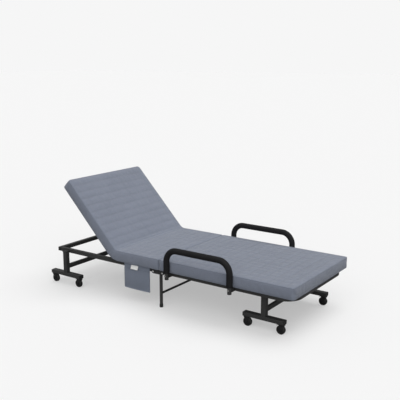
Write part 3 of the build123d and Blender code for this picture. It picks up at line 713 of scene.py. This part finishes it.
pocket, pocket_xs, pocket_rows = storage_pocket()
mouth_line = np.stack([pocket_xs, pocket_rows[-1][0], pocket_rows[-1][1]], 1)
hem_points, hem_faces = tube(mouth_line, MOUTH_BINDING_RADIUS, 8, closed=False)
hem = piece("pocket_mouth_binding", hem_points, hem_faces, LOOKS["pocket_fabric"])
sides = []
for x in (pocket_low.x + POCKET_MARGIN, pocket_high.x - POCKET_MARGIN):
    zs = np.linspace(pocket_low.z + BINDING_FOOT, pocket_high.z - POCKET_MOUTH, 24)
    line = np.stack([np.full_like(zs, x), np.full_like(zs, pocket_high.y - BINDING_INSET), zs], 1)
    sides.append(tube(line, SIDE_BINDING_RADIUS, 8, closed=False))
side_points, side_faces = joined(sides)
side_binding = piece("pocket_side_binding", side_points, side_faces, LOOKS["pocket_fabric"])

LABEL_X = (pocket_low.x + 0.060, pocket_low.x + 0.117)
LABEL_Z = (0.2135, 0.2390)
LABEL_STEPS = (14, 7)
LABEL_CLOTH = 0.0008
LABEL_FOOT_Y = pocket_low.y - 0.0012    # the label leans from over the front panel back to the frame
LABEL_HEAD_Y = pocket_high.y - 0.0030
label_xs = np.linspace(*LABEL_X, LABEL_STEPS[0] + 1)
label_zs = np.linspace(*LABEL_Z, LABEL_STEPS[1] + 1)
label_grid = np.array([(x, z) for x in label_xs for z in label_zs])
label_rise = (label_grid[:, 1] - LABEL_Z[0]) / (LABEL_Z[1] - LABEL_Z[0])
label_y = LABEL_FOOT_Y + (LABEL_HEAD_Y - LABEL_FOOT_Y) * label_rise
label_y = label_y - 0.0002 * np.sin(label_grid[:, 0] * 110)
label_points = np.stack([label_grid[:, 0], label_y, label_grid[:, 1]], 1)
row = len(label_zs)
label_faces = [(i * row + j, i * row + j + 1, (i + 1) * row + j + 1, (i + 1) * row + j)
               for i in range(LABEL_STEPS[0]) for j in range(LABEL_STEPS[1])]
label = piece("pocket_label_blank", label_points, label_faces, LABEL)
thickened(label, LABEL_CLOTH)
for trim in (pocket, hem, side_binding, label):
    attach(trim, "pocket")
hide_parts("storage_pocket")


# Fasteners and caster trim

# profiles, as (radius, outward distance)
DOME = ((0.0068, 0.0), (0.0068, 0.0008), (0.0062, 0.0020), (0.0046, 0.0030), (0.0030, 0.0034),
        (0.0028, 0.0022), (0.0004, 0.0021))
HUB = ((0.0165, 0.0), (0.0165, 0.0010), (0.0150, 0.0017), (0.0120, 0.0012), (0.0095, 0.0014))
HUB_FACE = 0.0070           # from the wheel's middle
LINK_FACE = 0.3025          # outer face of the foot link plates, off the centre plane


def bolt_heads(name, places, body, scale=1.0):
    heads = [lathe([(radius * scale, out * scale) for radius, out in DOME], (x, y, z), math.copysign(1, y))
             for x, y, z in places]
    points, faces = joined(heads)
    made = piece(name, points, faces, LOOKS["bolt_steel"])
    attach(made, body)


for side, sign in (("left", 1), ("right", -1)):
    low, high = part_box("centre_bracket_" + side)
    face_y = high.y if sign == 1 else low.y
    pivots = [joints[name]["pos_m"] for name in ("head_centre_pivot", "foot_centre_pivot")]
    bolt_heads("centre_bolts_" + side, [(p[0], face_y, p[2]) for p in pivots], "centre_section")

foot_pivot = joints["fold"]["pos_m"]
bolt_heads("foot_link_bolts", [(foot_pivot[0], sign * LINK_FACE, foot_pivot[2]) for sign in (1, -1)],
           "foot_links", 0.9)

for body, members in bodies.items():
    if not body.endswith("_caster_wheel"):
        continue
    low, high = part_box(members[0])
    middle_x, middle_y, middle_z = (low + high) / 2
    caps = []
    for sign in (1, -1):
        caps.append(lathe(HUB, (middle_x, middle_y + sign * HUB_FACE, middle_z), sign))
    points, faces = joined(caps)
    made = piece(body + "_hub_caps", points, faces, LOOKS["caster_plastic"])
    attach(made, body)


# Stage, light and camera

PALE = 0.922                # background, as the camera sees it
AMBIENT = 0.29              # background, as a light
FLOOR_HALF = 60.0
FLOOR_GREY = 0.505          # floor, as the camera sees it
FLOOR_BOUNCE = 0.2          # floor, as it lights the cot
FLOOR_GLOW = 0.402          # added where the camera sees the floor, so that its shadows are pale
# name, strength, angular size in degrees, direction towards the light
SUNS = (("key", 1.56, 50, (0.2, 0.25, 1.0)),
        ("fill", 1.67, 80, (0.5, -0.78, 0.55)))
CAMERA_PLACE = (2.4543, -3.4142, 1.5167)
CAMERA_YAW = math.radians(35.0)
CAMERA_PITCH = math.radians(-12.0)
CAMERA_LENS = 60.1


def seen_only(tree, bright, dim):
    """A value that is bright where the camera looks straight at it, and dim in all other light."""
    path = tree.nodes.new("ShaderNodeLightPath")
    mix = tree.nodes.new("ShaderNodeMix")
    mix.inputs["A"].default_value = dim
    mix.inputs["B"].default_value = bright
    tree.links.new(path.outputs["Is Camera Ray"], mix.inputs["Factor"])
    return mix.outputs["Result"]


world = bpy.data.worlds.new("studio")
scene.world = world
world.use_nodes = True
background = world.node_tree.nodes["Background"]
background.inputs["Color"].default_value = (1, 1, 1, 1)
world.node_tree.links.new(seen_only(world.node_tree, PALE, AMBIENT), background.inputs["Strength"])

floor_mesh = bpy.data.meshes.new("floor")
floor_corners = [(x * FLOOR_HALF, y * FLOOR_HALF, 0) for x, y in ((-1, -1), (1, -1), (1, 1), (-1, 1))]
floor_mesh.from_pydata(floor_corners, [], [(0, 1, 2, 3)])
floor = bpy.data.objects.new("floor", floor_mesh)
scene.collection.objects.link(floor)
floor_look = bpy.data.materials.new("floor")
floor_look.use_nodes = True
floor_tree = floor_look.node_tree
floor_shader = floor_tree.nodes["Principled BSDF"]
floor_tree.links.new(seen_only(floor_tree, FLOOR_GREY, FLOOR_BOUNCE), floor_shader.inputs["Base Color"])
floor_shader.inputs["Roughness"].default_value = 1.0
floor_shader.inputs["Specular IOR Level"].default_value = 0.0
floor_shader.inputs["Emission Color"].default_value = (1, 1, 1, 1)
floor_tree.links.new(seen_only(floor_tree, FLOOR_GLOW, 0.0), floor_shader.inputs["Emission Strength"])
floor_mesh.materials.append(floor_look)

for name, energy, spread, toward in SUNS:
    light_data = bpy.data.lights.new(name, "SUN")
    light_data.energy = energy
    light_data.angle = math.radians(spread)
    light = bpy.data.objects.new(name, light_data)
    scene.collection.objects.link(light)
    light.rotation_euler = Vector(toward).to_track_quat("Z", "Y").to_euler()

camera_data = bpy.data.cameras.new("camera")
camera_data.sensor_width = 36.0
camera_data.lens = CAMERA_LENS
camera_data.dof.use_dof = False
camera = bpy.data.objects.new("camera", camera_data)
scene.collection.objects.link(camera)
camera.location = CAMERA_PLACE
level = math.cos(CAMERA_PITCH)
looking = Vector((-math.sin(CAMERA_YAW) * level, math.cos(CAMERA_YAW) * level, math.sin(CAMERA_PITCH)))
camera.rotation_euler = looking.to_track_quat("-Z", "Y").to_euler()
camera_data.clip_end = 200.0
scene.camera = camera
scene.view_settings.view_transform = "Standard"
